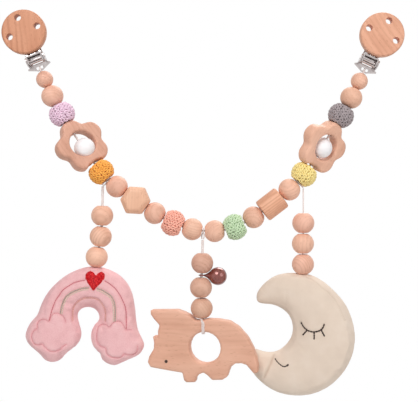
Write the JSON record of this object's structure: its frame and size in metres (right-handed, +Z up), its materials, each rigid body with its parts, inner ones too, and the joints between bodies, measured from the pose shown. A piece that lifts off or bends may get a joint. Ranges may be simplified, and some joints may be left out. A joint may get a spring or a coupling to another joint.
{
  "type": "pram chain toy",
  "caption": "Strand of wooden and crochet beads and flower rings between two clips, with a rainbow, an animal and a moon on droppers.",
  "frame": {"origin": "midway between the jaws of the two clips, which hold the strand up", "axes": "+X runs from the left clip to the right clip, +Y to the back of the toy and +Z up; its front faces -Y"},
  "size_m": [0.3022, 0.0326, 0.2928],
  "materials": {
    "beech": "sanded, unvarnished beech",
    "cord_white": "braided cotton cord",
    "nickel": "bright nickel plating",
    "pad_plastic": "moulded plastic",
    "ball_white": "smooth white",
    "bell_brown": "glossy dark brown",
    "pink_plush": "short pile velour",
    "cream_plush": "matt cotton cloth",
    "lavender_yarn": "crocheted cotton yarn",
    "orange_yarn": "crocheted cotton yarn",
    "salmon_yarn": "crocheted cotton yarn",
    "mint_yarn": "crocheted cotton yarn",
    "yellow_yarn": "crocheted cotton yarn",
    "grey_yarn": "crocheted cotton yarn"
  },
  "bodies": {
    "strand": {"main_cord": "cord_white", "left_clip_plate": "nickel", "left_clip_pad": "pad_plastic", "left_clip_pin": "nickel", "right_clip_plate": "nickel", "right_clip_pad": "pad_plastic", "right_clip_pin": "nickel"},
    "left_clip_flap": {"left_clip_lever": "nickel", "left_clip_disc": "beech"},
    "right_clip_flap": {"right_clip_lever": "nickel", "right_clip_disc": "beech"},
    "left_end_bead_body": {"left_end_bead": "beech"},
    "wood_bead_1_body": {"wood_bead_1": "beech"},
    "lavender_bead_body": {"lavender_bead": "lavender_yarn"},
    "left_flower_ring_body": {"left_flower_ring": "beech"},
    "left_flower_ball_body": {"left_flower_ball": "ball_white"},
    "orange_bead_body": {"orange_bead": "orange_yarn"},
    "wood_bead_2_body": {"wood_bead_2": "beech"},
    "hexagon_bead_body": {"hexagon_bead": "beech"},
    "wood_bead_3_body": {"wood_bead_3": "beech"},
    "salmon_bead_body": {"salmon_bead": "salmon_yarn"},
    "wood_bead_4_body": {"wood_bead_4": "beech"},
    "wood_bead_5_body": {"wood_bead_5": "beech"},
    "mint_bead_body": {"mint_bead": "mint_yarn"},
    "wood_bead_6_body": {"wood_bead_6": "beech"},
    "cylinder_bead_body": {"cylinder_bead": "beech"},
    "wood_bead_7_body": {"wood_bead_7": "beech"},
    "yellow_bead_body": {"yellow_bead": "yellow_yarn"},
    "right_flower_ring_body": {"right_flower_ring": "beech"},
    "right_flower_ball_body": {"right_flower_ball": "ball_white"},
    "grey_bead_body": {"grey_bead": "grey_yarn"},
    "wood_bead_8_body": {"wood_bead_8": "beech"},
    "right_end_bead_body": {"right_end_bead": "beech"},
    "left_hitch_body": {"left_hitch": "cord_white"},
    "left_string_body": {"left_string": "cord_white"},
    "left_dropper_bead_1_body": {"left_dropper_bead_1": "beech"},
    "left_dropper_bead_2_body": {"left_dropper_bead_2": "beech"},
    "left_dropper_bead_3_body": {"left_dropper_bead_3": "beech"},
    "rainbow_body": {"rainbow": "pink_plush", "rainbow_loop": "cord_white"},
    "middle_hitch_body": {"middle_hitch": "cord_white"},
    "middle_string_body": {"middle_string": "cord_white"},
    "middle_dropper_bead_1_body": {"middle_dropper_bead_1": "beech"},
    "middle_dropper_bead_2_body": {"middle_dropper_bead_2": "beech"},
    "middle_dropper_bead_3_body": {"middle_dropper_bead_3": "beech"},
    "fox_body": {"fox": "beech", "fox_loop": "cord_white"},
    "right_hitch_body": {"right_hitch": "cord_white"},
    "right_string_body": {"right_string": "cord_white"},
    "right_dropper_bead_1_body": {"right_dropper_bead_1": "beech"},
    "right_dropper_bead_2_body": {"right_dropper_bead_2": "beech"},
    "right_dropper_bead_3_body": {"right_dropper_bead_3": "beech"},
    "moon_body": {"moon": "cream_plush", "moon_loop": "cord_white"},
    "bell_body": {"bell": "bell_brown"},
    "bell_pellet_body": {"bell_pellet": "nickel"}
  },
  "joints": [
    {"name": "left_clip_hinge", "type": "hinge", "parent": "strand", "child": "left_clip_flap", "pos_m": [-0.12631, -0.0054, -0.01128], "axis": [0.9275, 0, 0.3739], "range_deg": [0, 75]},
    {"name": "right_clip_hinge", "type": "hinge", "parent": "strand", "child": "right_clip_flap", "pos_m": [0.12567, -0.0054, -0.01293], "axis": [0.9066, 0, -0.4219], "range_deg": [0, 75]},
    {"name": "left_end_bead_spin", "type": "hinge", "parent": "strand", "child": "left_end_bead_body", "pos_m": [-0.12044, 0, -0.02568], "axis": [0.3876, 0, -0.9218], "continuous": true},
    {"name": "wood_bead_1_spin", "type": "hinge", "parent": "strand", "child": "wood_bead_1_body", "pos_m": [-0.11458, 0, -0.03845], "axis": [0.4509, 0, -0.8926], "continuous": true},
    {"name": "lavender_bead_spin", "type": "hinge", "parent": "strand", "child": "lavender_bead_body", "pos_m": [-0.10749, 0, -0.05177], "axis": [0.4862, 0, -0.8738], "continuous": true},
    {"name": "left_flower_ring_spin", "type": "hinge", "parent": "strand", "child": "left_flower_ring_body", "pos_m": [-0.09262, 0, -0.07568], "axis": [0.5569, 0, -0.8306], "continuous": true},
    {"name": "left_flower_ball_spin", "type": "hinge", "parent": "strand", "child": "left_flower_ball_body", "pos_m": [-0.09171, 0, -0.07703], "axis": [0.5569, 0, -0.8306], "continuous": true},
    {"name": "orange_bead_spin", "type": "hinge", "parent": "strand", "child": "orange_bead_body", "pos_m": [-0.07759, 0, -0.09592], "axis": [0.6666, 0, -0.7454], "continuous": true},
    {"name": "wood_bead_2_spin", "type": "hinge", "parent": "strand", "child": "wood_bead_2_body", "pos_m": [-0.06549, 0, -0.1073], "axis": [0.7783, 0, -0.6279], "continuous": true},
    {"name": "hexagon_bead_spin", "type": "hinge", "parent": "strand", "child": "hexagon_bead_body", "pos_m": [-0.05124, 0, -0.11777], "axis": [0.819, 0, -0.5738], "continuous": true},
    {"name": "wood_bead_3_spin", "type": "hinge", "parent": "strand", "child": "wood_bead_3_body", "pos_m": [-0.03654, 0, -0.12757], "axis": [0.852, 0, -0.5235], "continuous": true},
    {"name": "salmon_bead_spin", "type": "hinge", "parent": "strand", "child": "salmon_bead_body", "pos_m": [-0.02301, 0, -0.13494], "axis": [0.9128, 0, -0.4084], "continuous": true},
    {"name": "wood_bead_4_spin", "type": "hinge", "parent": "strand", "child": "wood_bead_4_body", "pos_m": [-0.00807, 0, -0.13981], "axis": [0.9806, 0, -0.1962], "continuous": true},
    {"name": "wood_bead_5_spin", "type": "hinge", "parent": "strand", "child": "wood_bead_5_body", "pos_m": [0.00898, 0, -0.14127], "axis": [0.9993, 0, 0.0362], "continuous": true},
    {"name": "mint_bead_spin", "type": "hinge", "parent": "strand", "child": "mint_bead_body", "pos_m": [0.02475, 0, -0.13797], "axis": [0.9306, 0, 0.3661], "continuous": true},
    {"name": "wood_bead_6_spin", "type": "hinge", "parent": "strand", "child": "wood_bead_6_body", "pos_m": [0.03852, 0, -0.13072], "axis": [0.8505, 0, 0.526], "continuous": true},
    {"name": "cylinder_bead_spin", "type": "hinge", "parent": "strand", "child": "cylinder_bead_body", "pos_m": [0.05271, 0, -0.1208], "axis": [0.7917, 0, 0.6109], "continuous": true},
    {"name": "wood_bead_7_spin", "type": "hinge", "parent": "strand", "child": "wood_bead_7_body", "pos_m": [0.0659, 0, -0.10962], "axis": [0.7283, 0, 0.6853], "continuous": true},
    {"name": "yellow_bead_spin", "type": "hinge", "parent": "strand", "child": "yellow_bead_body", "pos_m": [0.07722, 0, -0.0976], "axis": [0.6301, 0, 0.7765], "continuous": true},
    {"name": "right_flower_ring_spin", "type": "hinge", "parent": "strand", "child": "right_flower_ring_body", "pos_m": [0.09109, 0, -0.07658], "axis": [0.5199, 0, 0.8542], "continuous": true},
    {"name": "right_flower_ball_spin", "type": "hinge", "parent": "strand", "child": "right_flower_ball_body", "pos_m": [0.09024, 0, -0.07797], "axis": [0.5199, 0, 0.8542], "continuous": true},
    {"name": "grey_bead_spin", "type": "hinge", "parent": "strand", "child": "grey_bead_body", "pos_m": [0.10543, 0, -0.05275], "axis": [0.5181, 0, 0.8553], "continuous": true},
    {"name": "wood_bead_8_spin", "type": "hinge", "parent": "strand", "child": "wood_bead_8_body", "pos_m": [0.11305, 0, -0.03968], "axis": [0.4737, 0, 0.8807], "continuous": true},
    {"name": "right_end_bead_spin", "type": "hinge", "parent": "strand", "child": "right_end_bead_body", "pos_m": [0.11917, 0, -0.02705], "axis": [0.414, 0, 0.9103], "continuous": true},
    {"name": "left_dropper_swing", "type": "hinge", "parent": "strand", "child": "left_hitch_body", "pos_m": [-0.07187, 0, -0.10178], "axis": [-0.7288, 0, 0.6847], "range_deg": [-35, 35]},
    {"name": "left_dropper_sway", "type": "hinge", "parent": "left_hitch_body", "child": "left_string_body", "pos_m": [-0.07625, 0, -0.10644], "axis": [0, 1, 0], "range_deg": [-1, 20]},
    {"name": "left_dropper_bead_1_spin", "type": "hinge", "parent": "left_string_body", "child": "left_dropper_bead_1_body", "pos_m": [-0.07665, 0, -0.12939], "axis": [-0.0359, 0, -0.9994], "continuous": true},
    {"name": "left_dropper_bead_2_spin", "type": "hinge", "parent": "left_string_body", "child": "left_dropper_bead_2_body", "pos_m": [-0.07777, 0, -0.14536], "axis": [-0.1355, 0, -0.9908], "continuous": true},
    {"name": "left_dropper_bead_3_spin", "type": "hinge", "parent": "left_string_body", "child": "left_dropper_bead_3_body", "pos_m": [-0.08079, 0, -0.16093], "axis": [-0.1797, 0, -0.9837], "continuous": true},
    {"name": "rainbow_twist", "type": "hinge", "parent": "left_string_body", "child": "rainbow_body", "pos_m": [-0.08224, 0, -0.16884], "axis": [0.1797, 0, 0.9837], "range_deg": [-45, 45]},
    {"name": "middle_dropper_swing", "type": "hinge", "parent": "strand", "child": "middle_hitch_body", "pos_m": [0.00042, 0, -0.14095], "axis": [0.9964, 0, -0.0848], "range_deg": [-35, 0.5]},
    {"name": "middle_dropper_sway", "type": "hinge", "parent": "middle_hitch_body", "child": "middle_string_body", "pos_m": [-0.00012, 0, -0.14732], "axis": [0, 1, 0], "range_deg": [-1, 1]},
    {"name": "middle_dropper_bead_1_spin", "type": "hinge", "parent": "middle_string_body", "child": "middle_dropper_bead_1_body", "pos_m": [-0.00044, 0, -0.16557], "axis": [-0.0383, 0, -0.9993], "continuous": true},
    {"name": "middle_dropper_bead_2_spin", "type": "hinge", "parent": "middle_string_body", "child": "middle_dropper_bead_2_body", "pos_m": [-0.00141, 0, -0.18414], "axis": [-0.0112, 0, -0.9999], "continuous": true},
    {"name": "middle_dropper_bead_3_spin", "type": "hinge", "parent": "middle_string_body", "child": "middle_dropper_bead_3_body", "pos_m": [-0.00086, 0, -0.19992], "axis": [0.0227, 0, -0.9997], "continuous": true},
    {"name": "fox_twist", "type": "hinge", "parent": "middle_string_body", "child": "fox_body", "pos_m": [-0.00066, 0, -0.20887], "axis": [-0.0227, 0, 0.9997], "range_deg": [-60, 0]},
    {"name": "right_dropper_swing", "type": "hinge", "parent": "strand", "child": "right_hitch_body", "pos_m": [0.07184, 0, -0.1037], "axis": [0.6847, 0, 0.7288], "range_deg": [-0.5, 35]},
    {"name": "right_dropper_sway", "type": "hinge", "parent": "right_hitch_body", "child": "right_string_body", "pos_m": [0.07651, 0, -0.10809], "axis": [0, 1, 0], "range_deg": [-20, 0.5]},
    {"name": "right_dropper_bead_1_spin", "type": "hinge", "parent": "right_string_body", "child": "right_dropper_bead_1_body", "pos_m": [0.07651, 0, -0.13504], "axis": [-0.0075, 0, -1], "continuous": true},
    {"name": "right_dropper_bead_2_spin", "type": "hinge", "parent": "right_string_body", "child": "right_dropper_bead_2_body", "pos_m": [0.07623, 0, -0.15073], "axis": [-0.0102, 0, -0.9999], "continuous": true},
    {"name": "right_dropper_bead_3_spin", "type": "hinge", "parent": "right_string_body", "child": "right_dropper_bead_3_body", "pos_m": [0.07623, 0, -0.16647], "axis": [0.0008, 0, -1], "continuous": true},
    {"name": "moon_twist", "type": "hinge", "parent": "right_string_body", "child": "moon_body", "pos_m": [0.07624, 0, -0.17452], "axis": [-0.0008, 0, 1], "range_deg": [-50, 0]},
    {"name": "bell_spin", "type": "hinge", "parent": "middle_string_body", "child": "bell_body", "pos_m": [-0.00092, 0, -0.17485], "axis": [0.0523, 0, 0.9986], "continuous": true},
    {"name": "bell_pellet_slide", "type": "slide", "parent": "bell_body", "child": "bell_pellet_body", "axis": [0, 0, 1], "range_m": [0, 0.0085]}
  ]
}
